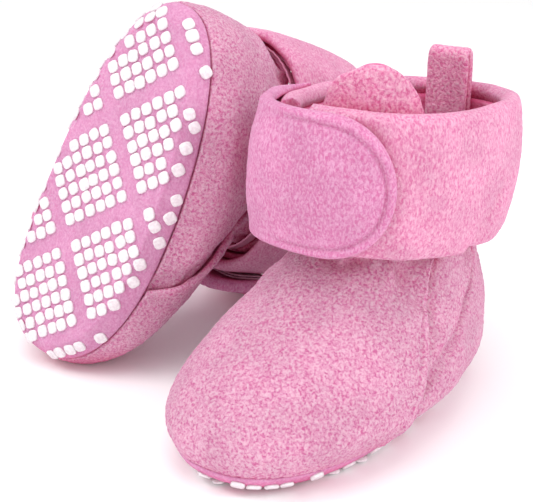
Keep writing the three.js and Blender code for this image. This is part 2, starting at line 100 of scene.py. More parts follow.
class Form:
    """A closed surface round a foot: super-elliptical sections, joined by a cubic over the height."""

    TOE_ROUNDNESS = 2.4
    HEEL_ROUNDNESS = 2.2
    SWING_START = 5.0

    def __init__(self, heights: Sequence[float], sections: Sequence[Sequence[float]], swing: float) -> None:
        """Stores the sections.

        Args:
            heights: Height of each section, from the bottom up.
            sections: For each height: toe y, heel y, half width, y of the widest point, shift in x.
            swing: How far the tip of the toe lies towards the inner side.
        """
        self.heights = np.array(heights, float)
        self.sections = np.array(sections, float)
        self.swing = swing

    def section(self, z: np.ndarray) -> np.ndarray:
        """The five values of the section at each height.

        Args:
            z: Heights.

        Returns:
            An array with a last axis of five.
        """
        knots, values = self.heights, self.sections
        shape = np.shape(z)
        x = np.clip(np.asarray(z, float).ravel(), knots[0], knots[-1])
        count = len(knots)
        i1 = np.clip(np.searchsorted(knots, x, side="right"), 1, count - 1)
        t0, t1 = knots[i1 - 1], knots[i1]
        first, last = i1 < 2, i1 > count - 2
        before = np.where(first, i1, i1 - 2)
        after = np.where(last, i1 - 1, np.minimum(i1 + 1, count - 1))
        t_before = np.where(first, t1, knots[np.maximum(i1 - 2, 0)])
        t_after = np.where(last, t0, knots[np.minimum(i1 + 1, count - 1)])
        half = (t1 - t0) * 0.5
        wp, wn = half / (t0 - t_before), half / (t_after - t1)
        p = (x - t0) / (t1 - t0)
        pp, ppp = p * p, p * p * p
        weights = (
            (-wp * ppp + 2 * wp * pp - wp * p, before),
            ((1 + wp) * ppp + (-1.5 - 2 * wp) * pp + (-0.5 + wp) * p + 1, i1 - 1),
            ((-1 - wn) * ppp + (1.5 + wn) * pp + 0.5 * p, i1),
            (wn * ppp - wn * pp, after),
        )
        found = sum(w[:, None] * values[i] for w, i in weights)
        return found.reshape(shape + (5,))

    def point(self, turn: np.ndarray, z: np.ndarray) -> np.ndarray:
        """Points on the surface.

        Args:
            turn: Angles from the outer side, 90 degrees at the heel, in radians.
            z: Heights, of the same shape.

        Returns:
            Points in the bootie's own frame, in millimetres.
        """
        toe, heel, half, widest, shift = np.moveaxis(self.section(z), -1, 0)
        c, s = np.cos(turn), np.sin(turn)
        power = np.where(s < 0, 2 / self.TOE_ROUNDNESS, 2 / self.HEEL_ROUNDNESS)
        across = np.sign(c) * np.abs(c) ** power
        along = np.sign(s) * np.abs(s) ** power
        y = widest + along * np.where(s < 0, widest - toe, heel - widest)
        forward = np.maximum(0, (self.SWING_START - y) / (self.SWING_START + FOOT_LENGTH / 2))
        return np.stack([half * across + shift + self.swing * forward**2, y, z + 0 * y], -1)

    def normal(self, turn: np.ndarray, z: np.ndarray) -> np.ndarray:
        """Outward unit normals at the same places as point()."""
        step, rise = 0.03, 0.4
        tangent = self.point(turn + step, z) - self.point(turn - step, z)
        up = self.point(turn, z + rise) - self.point(turn, z - rise)
        across = np.cross(tangent, up)
        return across / np.linalg.norm(across, axis=-1, keepdims=True)

    def turn_at(self, z: np.ndarray, y: np.ndarray) -> np.ndarray:
        """Angle at which the outer side passes a line across the foot.

        Args:
            z: Heights.
            y: Place of the line at each height.

        Returns:
            Angles in radians, between -90 and 90 degrees.
        """
        toe, heel, _, widest, _ = np.moveaxis(self.section(z), -1, 0)
        along = (y - widest) / (np.where(y > widest, heel, toe) - widest)
        power = np.where(y > widest, self.HEEL_ROUNDNESS, self.TOE_ROUNDNESS) / 2
        return np.sign(y - widest) * np.arcsin(np.clip(along, 0, 1) ** power)


SECTIONS = (
    (SOLE_BOTTOM, 5.5, 6.5, 10.5, -11, 0),
    (3.5, 2, 2.6, 8, -11, 0),
    (SEAM_HEIGHT, 0.4, 1, 5.6, -12, 0),
    (14, 0, 0, 0, -5, 0),
    (24, 9.3, 0, 1.3, 1, 0),
    (34, 23.2, 1.2, 5.6, 12, 0.3),
    (43, 36.5, 5.4, 9.2, 18, 1),
    (50, 44, 7.6, 11.6, 21, 2.2),
    (ANKLE_TOP + HEM_TILT + 2, 45.5, 7.6, 11.6, 21, 2.8),
)
FOOT = Form(
    [s[0] for s in SECTIONS],
    [(-FOOT_LENGTH / 2 + s[1], FOOT_LENGTH / 2 - s[2], FOOT_WIDTH / 2 - s[3], s[4], s[5]) for s in SECTIONS],
    -5.0,
)


def cuff_form() -> Form:
    """The outer face of the cuff band, grown out of the gathered ankle."""
    toe, heel, half, widest, shift = FOOT.section(np.array(50.0))
    heights, sections = [], []
    for part in np.linspace(0, 1, 9):
        bulge = math.sin(math.pi * part) ** 0.8
        heights.append((CUFF_BOTTOM - HEM_TILT) * (1 - part) + (RIM_HEIGHT + RIM_TILT) * part)
        sections.append((
            toe - 6.2 - part * 0.8 - bulge * 0.9,
            heel + 7.4 + part * 0.4 + bulge * 0.9,
            half + 6.4 + bulge * 3.2,
            widest,
            shift + part * 3.2,
        ))
    return Form(heights, sections, 0.0)


CUFF = cuff_form()


def rim_at(turn: np.ndarray) -> np.ndarray:
    """Height of the rim at an angle."""
    return RIM_HEIGHT - RIM_TILT * np.sin(turn)


def hem_at(turn: np.ndarray) -> np.ndarray:
    """Height of the cuff's hem at an angle."""
    return CUFF_BOTTOM - HEM_TILT * np.sin(turn)


def ankle_top_at(turn: np.ndarray) -> np.ndarray:
    """Height of the upper's top edge at an angle."""
    return ANKLE_TOP - HEM_TILT * np.sin(turn)


def smooth(value: np.ndarray, low: float, high: float) -> np.ndarray:
    """A smooth step from 0 at low to 1 at high."""
    t = np.clip((value - low) / (high - low), 0, 1)
    return t * t * (3 - 2 * t)


def rounded(distance: np.ndarray, radius: float) -> np.ndarray:
    """Share of full thickness at a distance from a rounded edge."""
    t = np.clip(distance / radius, 0, 1)
    return np.sqrt(np.clip(1 - (1 - t) ** 2, 0, 1))


def spread(count: int, ends: float = 0.06) -> np.ndarray:
    """Numbers from 0 to 1, set closer together near both ends.

    Args:
        count: How many.
        ends: Share of the length that each close-set end takes.

    Returns:
        The numbers, rising.
    """
    close = max(3, count // 9)
    tip = ends * (1 - np.cos(np.linspace(0, math.pi / 2, close, endpoint=False)))
    middle = np.linspace(ends, 1 - ends, count - 2 * close)
    return np.concatenate([tip, middle, 1 - tip[::-1]])


def crease(turn: np.ndarray, z: np.ndarray, line: Sequence[tuple[float, float]], width: float) -> np.ndarray:
    """How near each place is to a fold line: 1 on the line, 0 well away from it.

    Args:
        turn: Angles in radians.
        z: Heights.
        line: Corners of the fold line, as angle in degrees and height.
        width: Half width of the fold, in millimetres.

    Returns:
        One value for each place, softened towards the ends of the line.
    """
    places = np.stack([np.degrees(turn) * 0.55, z], -1)
    corners = np.array(line, float) * np.array([0.55, 1.0])
    nearest = np.full(z.shape, 1e9)
    along = np.zeros(z.shape)
    for k, (a, b) in enumerate(zip(corners[:-1], corners[1:])):
        t = np.clip(((places - a) @ (b - a)) / ((b - a) @ (b - a)), 0, 1)
        gap = np.linalg.norm(places - a - t[..., None] * (b - a), axis=-1)
        along = np.where(gap < nearest, (k + t) / (len(corners) - 1), along)
        nearest = np.minimum(nearest, gap)
    return np.exp(-((nearest / width) ** 2)) * smooth(np.minimum(along, 1 - along), -0.12, 0.2)


def nap(points: np.ndarray, grain: float, seed: float) -> np.ndarray:
    """Height of the pile over a surface, between about -1 and 1.

    Args:
        points: Places, in millimetres.
        grain: Size of one tuft, in millimetres.
        seed: Moves the pattern.

    Returns:
        One value for each point.
    """
    flat = points.reshape(-1, 3) / grain + seed
    coarse = flat * 0.31
    values = [noise.noise(Vector(p)) + 0.5 * noise.noise(Vector(q)) for p, q in zip(flat, coarse)]
    return np.array(values).reshape(points.shape[:-1])


# ---------------------------------------------------------------------------------------------------
# Meshes
# ---------------------------------------------------------------------------------------------------


@dataclass(frozen=True)
class Placement:
    """Takes points of one bootie's own frame to the row frame."""

    mirrored: bool
    matrix: Matrix

    def apply(self, points: np.ndarray) -> np.ndarray:
        """Points in metres in the row frame, from millimetres in the bootie's frame."""
        flat = points.reshape(-1, 3) * np.array([-1.0 if self.mirrored else 1.0, 1.0, 1.0])
        turn = np.array(self.matrix.to_3x3())
        return (flat @ turn.T + np.array(self.matrix.translation)) * MM


STANDING = Placement(False, Matrix.Identity(4))
LEAN = Euler((math.radians(109.49399828908), math.radians(-14), math.radians(175)), "XYZ")
LEANING = Placement(True, Matrix.Translation((-73.35116, -20.0, 58.34184)) @ LEAN.to_matrix().to_4x4())


def mesh_object(
    name: str, points: np.ndarray, faces: Sequence[Sequence[int]], place: Placement, weld: float = 1e-6
) -> bpy.types.Object:
    """Makes a smooth, welded mesh object at the origin.

    Args:
        name: Name of the piece.
        points: Points in the bootie's frame, in millimetres.
        faces: Corner indices of each face, facing outward on the unmirrored side.
        place: Where the bootie stands.
        weld: Points nearer than this, in metres, become one.

    Returns:
        The new object, linked to the scene.
    """
    mesh = bpy.data.meshes.new(name)
    corners = [tuple(reversed(f)) for f in faces] if place.mirrored else [tuple(f) for f in faces]
    mesh.from_pydata(place.apply(points).tolist(), [], corners)
    work = bmesh.new()
    work.from_mesh(mesh)
    bmesh.ops.remove_doubles(work, verts=work.verts, dist=weld)
    bmesh.ops.dissolve_degenerate(work, edges=work.edges, dist=weld)
    for face in work.faces:
        face.smooth = True
    work.to_mesh(mesh)
    work.free()
    piece = bpy.data.objects.new(name, mesh)
    bpy.context.scene.collection.objects.link(piece)
    return piece


def shell(outer: np.ndarray, inner: np.ndarray, closed: bool) -> tuple[np.ndarray, list[tuple[int, ...]]]:
    """Points and faces of a sheet with two faces.

    Args:
        outer: Outer points, columns by rows; the columns run anticlockwise seen from above.
        inner: Inner points, of the same shape.
        closed: Whether the last column joins the first.

    Returns:
        All points, and the faces, with the edges walled.
    """
    columns, rows = outer.shape[:2]
    count = columns * rows
    points = np.concatenate([outer.reshape(-1, 3), inner.reshape(-1, 3)])
    faces: list[tuple[int, ...]] = []
    spans = columns if closed else columns - 1
    for i in range(spans):
        a, b = i * rows, ((i + 1) % columns) * rows
        for j in range(rows - 1):
            faces.append((a + j, b + j, b + j + 1, a + j + 1))
            faces.append((count + a + j, count + a + j + 1, count + b + j + 1, count + b + j))
        top = rows - 1
        faces.append((count + a, count + b, b, a))
        faces.append((a + top, b + top, count + b + top, count + a + top))
    if not closed:
        end = (columns - 1) * rows
        for j in range(rows - 1):
            faces.append((count + j, j, j + 1, count + j + 1))
            faces.append((end + j, count + end + j, count + end + j + 1, end + j + 1))
    return points, faces


@dataclass
class Panel:
    """A padded or plain panel that lies on a form, with rounded edges."""

    name: str
    form: Form
    turn: np.ndarray
    height: np.ndarray
    outer: np.ndarray
    inner: np.ndarray
    thin: np.ndarray
    grain: float = 1.1
    relief: float = 0.12
    closed: bool = False
    seed: float = 0.0

    def build(self, place: Placement) -> bpy.types.Object:
        """Lofts both faces and raises the pile on them.

        Args:
            place: Where the bootie stands.

        Returns:
            The finished piece.
        """
        base = self.form.point(self.turn, self.height)
        normal = self.form.normal(self.turn, self.height)
        middle = (self.outer + self.inner) / 2
        half = (self.outer - self.inner) / 2 * self.thin
        pile = nap(base, self.grain, self.seed) * self.relief * np.minimum(1, self.thin * 1.5)
        outside = base + normal * (middle + half + pile)[..., None]
        inside = base + normal * (middle - half + pile * 0.5)[..., None]
        flat = self.thin < 1e-6
        inside[flat] = outside[flat]
        points, faces = shell(outside, inside, self.closed)
        return mesh_object(self.name, points, faces, place)


# ---------------------------------------------------------------------------------------------------
# Finishes
# ---------------------------------------------------------------------------------------------------


def linear(code: str) -> tuple[float, float, float, float]:
    """A linear colour from an sRGB hex code."""
    parts = [int(code[i:i + 2], 16) / 255 for i in (1, 3, 5)]
    r, g, b = (c / 12.92 if c <= 0.04045 else ((c + 0.055) / 1.055) ** 2.4 for c in parts)
    return (r, g, b, 1.0)


def node(tree: bpy.types.NodeTree, kind: str, settings: Optional[dict] = None, **links: object) -> bpy.types.Node:
    """Adds a node.

    Args:
        tree: The tree it goes into.
        kind: Its type.
        settings: Attributes, or values of sockets by index or name.
        links: Sockets by name, with spaces as underscores, each with the output that feeds it.

    Returns:
        The node.
    """
    made = tree.nodes.new(kind)
    for key, value in (settings or {}).items():
        if isinstance(key, int) or key in made.inputs:
            made.inputs[key].default_value = value
        else:
            setattr(made, key, value)
    for key, output in links.items():
        name = key.replace("_", " ")
        socket = made.inputs[int(name[1:])] if name[0] == "s" and name[1:].isdigit() else made.inputs[name]
        tree.links.new(output, socket)
    return made


@dataclass(frozen=True)
class Fleece:
    """Polyester fleece: a knitted ground whose fibres are brushed up into a soft, matt, curly pile."""

    name: str
    # The valley colour between tufts, darkened as painted shade; the tip colour below is lighter, partly as
    # painted highlight.
    crevice_shade: str
    body: str
    tip: str
    grain: float = 1.1
    pile: Pile = Pile.CURLED
    bump: float = 0.5
    sheen: float = 0.22

    def material(self) -> bpy.types.Material:
        """The material: the valleys between tufts darker than their tips, partly the fleece's own tone and partly
        painted shade and painted highlight, with painted shade of deeper pink in hollows.
        """
        made = bpy.data.materials.new(self.name)
        made.use_nodes = True
        tree = made.node_tree
        tree.nodes.clear()
        place = node(tree, "ShaderNodeTexCoord")
        stretch = {Pile.CURLED: (1, 1, 1), Pile.BRUSHED: (1, 1, 0.62), Pile.PLUSH: (1, 1, 0.85)}[self.pile]
        lay = node(tree, "ShaderNodeMapping", {"Scale": stretch}, Vector=place.outputs["Object"])
        at = lay.outputs["Vector"]
        tuft = 1 / (self.grain * MM)
        warp = node(tree, "ShaderNodeTexNoise", {"Scale": tuft * 0.8, "Detail": 2.0}, Vector=at)
        bent = node(tree, "ShaderNodeVectorMath", {"operation": "MULTIPLY_ADD", 1: (0.0011, 0.0011, 0.0011)},
                    s0=warp.outputs["Color"], s2=at)
        curls = node(tree, "ShaderNodeTexNoise", {"Scale": tuft, "Detail": 2.0, "Roughness": 0.5},
                     Vector=bent.outputs["Vector"])
        fibres = node(tree, "ShaderNodeTexNoise", {"Scale": tuft * 3.4, "Detail": 3.0, "Roughness": 0.7},
                      Vector=at)
        cloud = node(tree, "ShaderNodeTexNoise", {"Scale": 1 / CLOUD_SIZE, "Detail": 2.0},
                     Vector=place.outputs["Object"])
        depth = node(tree, "ShaderNodeMix", {0: 0.3}, s2=curls.outputs["Fac"], s3=fibres.outputs["Fac"])
        # The ramp follows the pile height that also drives the bump: partly the fleece's own varying tone, partly
        # painted shade in the valleys between tufts and painted highlight on their tips.
        tones = node(tree, "ShaderNodeValToRGB", {}, Fac=depth.outputs[0])
        ramp = tones.color_ramp
        ramp.elements[0].position = 0.37
        ramp.elements[0].color = linear(self.crevice_shade)
        ramp.elements[1].position = 0.62
        ramp.elements[1].color = linear(self.tip)
        ramp.elements.new(0.48).color = linear(self.body)
        drift = node(tree, "ShaderNodeMapRange", {
            "From Min": 0.35, "From Max": 0.65, "To Min": 0.75, "To Max": 0.85,
        }, Value=cloud.outputs["Fac"])
        shade = node(tree, "ShaderNodeHueSaturation", {}, Color=tones.outputs["Color"],
                     Value=drift.outputs["Result"])
        # Painted shade: in hollows and between parts, where ambient occlusion finds nearby surfaces, the colour is
        # multiplied towards the deep pink tint.
        hollow = node(tree, "ShaderNodeAmbientOcclusion", {"samples": 6, "Distance": HOLLOW_REACH})
        open_share = node(tree, "ShaderNodeMapRange", {
            "From Min": 0.05, "From Max": 0.7, "To Min": 0.0, "To Max": 1.0,
        }, Value=hollow.outputs["AO"])
        hollow_shade = node(tree, "ShaderNodeMix", {
            "data_type": "RGBA", "blend_type": "MULTIPLY", 0: 1.0, 7: linear(HOLLOW_SHADE_TINT),
        }, s6=shade.outputs["Color"])
        tone_and_shade = node(tree, "ShaderNodeMix", {"data_type": "RGBA"}, s0=open_share.outputs["Result"],
                    s6=hollow_shade.outputs[2], s7=shade.outputs["Color"])
        rise = node(tree, "ShaderNodeBump", {"Strength": self.bump, "Distance": 0.0013}, Height=depth.outputs[0])
        skin = node(tree, "ShaderNodeBsdfPrincipled", {
            "Roughness": 0.92,
            "Specular IOR Level": 0.12,
            "Sheen Weight": self.sheen,
            "Sheen Roughness": 0.45,
            "Sheen Tint": linear(self.tip),
            "Subsurface Weight": 0.22,
            "Subsurface Radius": (1.0, 0.4, 0.6),
            "Subsurface Scale": 0.0035,
        }, Base_Color=tone_and_shade.outputs[2], Normal=rise.outputs["Normal"])
        node(tree, "ShaderNodeOutputMaterial", {}, Surface=skin.outputs["BSDF"])
        return made


@dataclass(frozen=True)
class Smooth:
    """A plain moulded, foamed or woven finish with a fine surface of its own."""

    name: str
    light: str
    dark: str
    grain: float
    roughness: float
    bump: float

    def material(self) -> bpy.types.Material:
        """The material: two close tones over a fine relief."""
        made = bpy.data.materials.new(self.name)
        made.use_nodes = True
        tree = made.node_tree
        tree.nodes.clear()
        place = node(tree, "ShaderNodeTexCoord")
        fine = node(tree, "ShaderNodeTexNoise", {"Scale": 1 / (self.grain * MM), "Detail": 3.0},
                    Vector=place.outputs["Object"])
        tones = node(tree, "ShaderNodeValToRGB", {}, Fac=fine.outputs["Fac"])
        tones.color_ramp.elements[0].position = 0.38
        tones.color_ramp.elements[0].color = linear(self.dark)
        tones.color_ramp.elements[1].position = 0.6
        tones.color_ramp.elements[1].color = linear(self.light)
        rise = node(tree, "ShaderNodeBump", {"Strength": self.bump, "Distance": 0.0003},
                    Height=fine.outputs["Fac"])
        skin = node(tree, "ShaderNodeBsdfPrincipled", {"Roughness": self.roughness, "Specular IOR Level": 0.4},
                    Base_Color=tones.outputs["Color"], Normal=rise.outputs["Normal"])
        node(tree, "ShaderNodeOutputMaterial", {}, Surface=skin.outputs["BSDF"])
        return made


# For each fleece, the first colour darkens the valleys between tufts as painted shade and the last lightens their
# tips, partly as painted highlight.
FINISHES = {
    "upper_fleece": Fleece("pebbled polyester fleece", "#DF6FA6", "#F0A6C9", "#FBCDE1", 0.72, bump=0.9),
    "cuff_fleece": Fleece("napped cuff fleece", "#E078A8", "#E99BBF", "#F4BCD5", 0.62, Pile.BRUSHED, 0.5),
    "strap_fleece": Fleece("napped strap fleece", "#D776A8", "#DE90BA", "#EAAED0", 0.56, Pile.BRUSHED, 0.45),
    "lining_fleece": Fleece("soft lining fleece", "#EA6FA3", "#F083B1", "#F69EC2", 0.9, Pile.PLUSH, 0.5),
    "tongue_fleece": Fleece("curly tongue fleece", "#E1699E", "#F29BC1", "#FDC4DA", 0.85, bump=0.7),
    "sole_fleece": Fleece("flat sole fleece", "#D88BB6", "#DD98C0", "#E6ABCD", 0.7, Pile.PLUSH, 0.35, 0.15),
    "foam": Smooth("closed-cell foam", "#F5F1EC", "#E9E3DC", 0.5, 0.8, 0.3),
    "elastic": Smooth("woven elastic", "#EFA9C8", "#E08FB4", 0.4, 0.7, 0.6),
    "closure": Smooth("hook-and-loop tape", "#F2BCD2", "#E39BBB", 0.5, 0.75, 0.9),
    "grip_print": Smooth("screen-printed silicone", "#EAE4E7", "#DCD0D6", 0.9, 0.42, 0.35),
}
MATERIALS: dict[str, bpy.types.Material] = {}


def dress(piece: bpy.types.Object, slot: str) -> None:
    """Gives a piece the finish of a material slot.

    Args:
        piece: The piece.
        slot: Name of the slot in the record.
    """
    if slot not in MATERIALS:
        MATERIALS[slot] = FINISHES[slot].material()
    piece.data.materials.clear()
    piece.data.materials.append(MATERIALS[slot])


# ---------------------------------------------------------------------------------------------------
# Sub-assemblies
# ---------------------------------------------------------------------------------------------------


@dataclass
class Bootie:
    """One bootie: who it is, and where its pieces go."""

    side: Side
    place: Placement

    def keep(self, piece: bpy.types.Object, slot: str, body: str, nodes: Sequence[str]) -> bpy.types.Object:
        """Dresses a piece, lets it ride on a body and lets it stand for its CAD nodes.

        Args:
            piece: The piece.
            slot: Its material slot.
            body: Body without the side's name.
            nodes: CAD nodes without the side's name.

        Returns:
            The piece.
        """
        dress(piece, slot)
        if body:
            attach(piece, f"{self.side.value}_{body}")
        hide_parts(*[f"{self.side.value}_{n}" for n in nodes])
        log.info("%s: %d faces", piece.name, len(piece.data.polygons))
        return piece

    def name(self, piece: str) -> str:
        """Name of a piece of this bootie."""
        return f"{self.side.value}_{piece}_soft"


@dataclass
class Sole(Bootie):
    """Fleece outsole with its silicone print, the foam and the foot bed."""

    columns: int = 240
    rings: int = 46
    dot_size: float = 3.75
    dot_height: float = 0.75
    dot_along: float = 2.96
    dot_across: float = 3.03
    dots_a_side: int = 6
    print_columns: tuple[float, ...] = (-49.9, -28.7, -7.5, 13.7, 34.9, 56.1)
    print_period: float = 41.5

    def ring(self, z: float, inset: float) -> np.ndarray:
        """A level ring of points, an inset inside the form."""
        turn = np.linspace(0, 2 * math.pi, self.columns, endpoint=False)
        height = np.full_like(turn, z)
        flat = FOOT.normal(turn, height) * np.array([1.0, 1.0, 0.0])
        flat /= np.linalg.norm(flat, axis=-1, keepdims=True)
        return FOOT.point(turn, height) - flat * inset

    def disc(self, ring: np.ndarray, z: float, count: int) -> list[np.ndarray]:
        """Rings that fill a ring inward to its middle line, the innermost first."""
        spine = ring * np.array([0.0, 0.82, 1.0])
        spine[:, 2] = z
        return [spine * (1 - w) + ring * w for w in np.linspace(0, 1, count, endpoint=False)]

    def stack(self, name: str, rings: list[np.ndarray], relief: float, seed: float) -> bpy.types.Object:
        """A closed piece from rings that run from its lower middle to its upper middle."""
        grid = np.stack(rings)
        pile = nap(grid, 1.0, seed) * relief
        grid[..., 2] += pile
        count, columns = grid.shape[:2]
        faces = []
        for k in range(count - 1):
            for i in range(columns):
                n = (i + 1) % columns
                faces.append((k * columns + i, k * columns + n, (k + 1) * columns + n, (k + 1) * columns + i))
        for row, order in ((0, -1), (count - 1, 1)):
            loop = [row * columns + i for i in range(columns)]
            faces.extend(self.zip_spine(loop, order))
        return mesh_object(name, grid.reshape(-1, 3), faces, self.place)

    @staticmethod
    def zip_spine(loop: list[int], order: int) -> list[tuple[int, ...]]:
        """Faces that close a flat loop across its middle line."""
        count = len(loop)
        start = count // 4
        faces = []
        for k in range(count // 2):
            a, b = loop[(start + k) % count], loop[(start + k + 1) % count]
            c, d = loop[(start - k - 1) % count], loop[(start - k) % count]
            quad = tuple(dict.fromkeys((a, b, c, d)))
            if len(quad) > 2:
                faces.append(quad if order > 0 else tuple(reversed(quad)))
        return faces

    def build(self) -> None:
        """Makes the outsole, the print, the foam and the foot bed."""
        heights = np.linspace(SOLE_BOTTOM, SEAM_HEIGHT, 12)
        sides = [self.ring(z, 0.5 * float(smooth(np.array(z), SEAM_HEIGHT - 0.8, SEAM_HEIGHT))) for z in heights]
        lip = [self.ring(SEAM_HEIGHT, 0.9), self.ring(SEAM_HEIGHT, 1.7)]
        walls = [self.ring(z, FLEECE) for z in np.linspace(SEAM_HEIGHT - 0.8, SOLE_BOTTOM + FLEECE, 4)]
        bottom = self.disc(sides[0], SOLE_BOTTOM, self.rings)
        floor = self.disc(walls[-1], SOLE_BOTTOM + FLEECE, 8)[::-1]
        rings = bottom + sides + lip + walls + floor
        self.keep(self.stack(self.name("outsole"), rings, 0.14, 3.0), "sole_fleece", "bootie", ["outsole"])
        low = SOLE_BOTTOM + FLEECE + GAP
        self.slab("midsole", low, low + 3.0, 2.8, "foam", 0.02)
        self.slab("insole", low + 3.0 + GAP, low + 5.0 + GAP, 5.4, "lining_fleece", 0.15)
        self.print_dots()

    def slab(self, part: str, low: float, high: float, inset: float, slot: str, relief: float) -> None:
        """A flat inner layer with rounded edges.

        Args:
            part: CAD node, without the side's name.
            low: Its underside.
            high: Its upper side.
            inset: How far its edge lies inside the outer face.
            slot: Material slot.
            relief: Height of its surface texture.
        """
        half = (high - low) / 2
        edge = []
        for angle in np.linspace(-math.pi / 2, math.pi / 2, 7):
            edge.append(self.ring((low + high) / 2 + half * math.sin(angle), inset + half * (1 - math.cos(angle))))
        rings = self.disc(edge[0], low, 14) + edge + self.disc(edge[-1], high, 26)[::-1]
        piece = self.keep(self.stack(self.name(part), rings, relief, 11.0), slot, "bootie", [part])

    def dot(self) -> tuple[np.ndarray, list[tuple[int, ...]]]:
        """One dot of print: a low eight-sided button with a soft shoulder.

        Returns:
            Its points, in millimetres with the dot standing on z = 0, and its faces.
        """
        bpy.ops.object.select_all(action="DESELECT")
        bpy.ops.mesh.primitive_cylinder_add(
            vertices=4, radius=self.dot_size / 2 * 1.36, depth=self.dot_height,
            location=(0, 0, self.dot_height / 2), rotation=(0, 0, 0))
        made = bpy.context.object
        bpy.ops.object.transform_apply(location=True, rotation=True, scale=True)
        bpy.ops.object.mode_set(mode="EDIT")
        bpy.ops.mesh.select_mode(type="EDGE")
        bpy.ops.mesh.select_all(action="DESELECT")
        work = bmesh.from_edit_mesh(made.data)
        for edge in work.edges:
            edge.select = abs(edge.verts[0].co.z - edge.verts[1].co.z) > self.dot_height / 2
        bmesh.update_edit_mesh(made.data)
        bpy.ops.mesh.bevel(offset=self.dot_size * 0.3, segments=2, affect="EDGES")
        bpy.ops.mesh.select_mode(type="FACE")
        bpy.ops.mesh.select_all(action="DESELECT")
        work = bmesh.from_edit_mesh(made.data)
        for face in work.faces:
            face.select = face.normal.z > 0.9
        bmesh.update_edit_mesh(made.data)
        bpy.ops.mesh.bevel(offset=self.dot_height * 0.5, segments=2, affect="EDGES")
        bpy.ops.object.mode_set(mode="OBJECT")
        points = np.array([tuple(v.co) for v in made.data.vertices])
        faces = [tuple(p.vertices) for p in made.data.polygons]
        bpy.data.objects.remove(made, do_unlink=True)
        return points, faces

    def print_dots(self) -> None:
        """Lays the dots on the lattice of rhombic patches, over the flat and up the side to the seam."""
        shape, shape_faces = self.dot()
        edge = self.ring(SOLE_BOTTOM, 0.0)
        turns = np.linspace(0, 2 * math.pi, self.columns, endpoint=False)
        climb = np.linspace(SOLE_BOTTOM, SEAM_HEIGHT - 1.4, 12)
        points: list[np.ndarray] = []
        faces: list[tuple[int, ...]] = []
        taken: list[np.ndarray] = []
        jitter = np.random.default_rng(7)
        for column, cx in enumerate(self.print_columns):
            stagger = self.print_period / 2 if column % 2 else 0.0
            for row in range(-3, 4):
                cy = row * self.print_period + stagger
                for i in range(self.dots_a_side):
                    for j in range(self.dots_a_side):
                        x = cx + self.dot_across * (i - j)
                        y = cy + self.dot_along * (i + j - self.dots_a_side + 1)
                        x, y = np.array([x, y]) + jitter.normal(0, 0.12, 2)
                        seat = self.seat(x, y, edge, turns, climb)
                        if seat is None:
                            continue
                        origin, normal = seat
                        if any(np.linalg.norm(origin - other) < self.dot_size for other in taken):
                            continue
                        taken.append(origin)
                        grow = 1 + jitter.normal(0, 0.03)
                        points.append(self.set_dot(shape * grow, origin, normal, jitter.normal(0, 0.1)))
                        base = (len(points) - 1) * len(shape)
                        faces.extend(tuple(base + k for k in f) for f in shape_faces)
        piece = mesh_object(self.name("print"), np.concatenate(points), faces, self.place)
        nodes = [n[len(self.side.value) + 1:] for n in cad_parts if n.startswith(self.side.value + "_grip")]
        self.keep(piece, "grip_print", "bootie", nodes)

    @staticmethod
    def seat(
        x: float, y: float, edge: np.ndarray, turns: np.ndarray, climb: np.ndarray
    ) -> Optional[tuple[np.ndarray, np.ndarray]]:
        """Where a dot of the flat lattice lands on the sole.

        Args:
            x: Place across the flat pattern.
            y: Place along it.
            edge: The ring where the flat of the sole ends.
            turns: Angle of each point of that ring.
            climb: Heights up the side.

        Returns:
            The place and the outward normal there, or None where the seam cuts the print off.
        """
        gaps = np.hypot(edge[:, 0] - x, edge[:, 1] - y)
        k = int(gaps.argmin())
        middle = edge[:, 1].mean()
        beyond = np.hypot(x, y - middle) > np.hypot(edge[k, 0], edge[k, 1] - middle)
        if not beyond or gaps[k] < 0.4:
            return np.array([x, y, SOLE_BOTTOM - 0.05]), np.array([0.0, 0.0, -1.0])
        turn = np.full_like(climb, turns[k])
        path = FOOT.point(turn, climb)
        length = np.concatenate([[0], np.cumsum(np.linalg.norm(np.diff(path, axis=0), axis=1))])
        if gaps[k] > length[-1]:
            return None
        z = np.interp(gaps[k], length, climb)
        at = FOOT.point(np.array([turns[k]]), np.array([z]))[0]
        normal = FOOT.normal(np.array([turns[k]]), np.array([z]))[0]
        return at, normal

    @staticmethod
    def set_dot(shape: np.ndarray, origin: np.ndarray, normal: np.ndarray, twist: float) -> np.ndarray:
        """Turns a dot onto its seat."""
        along = np.array([0.0, 1.0, 0.0]) - normal * normal[1]
        along /= np.linalg.norm(along)
        across = np.cross(along, normal)
        c, s = math.cos(twist), math.sin(twist)
        u, v = across * c + along * s, along * c - across * s
        return origin + shape[:, :1] * u + shape[:, 1:2] * v + (shape[:, 2:] - 0.15) * normal


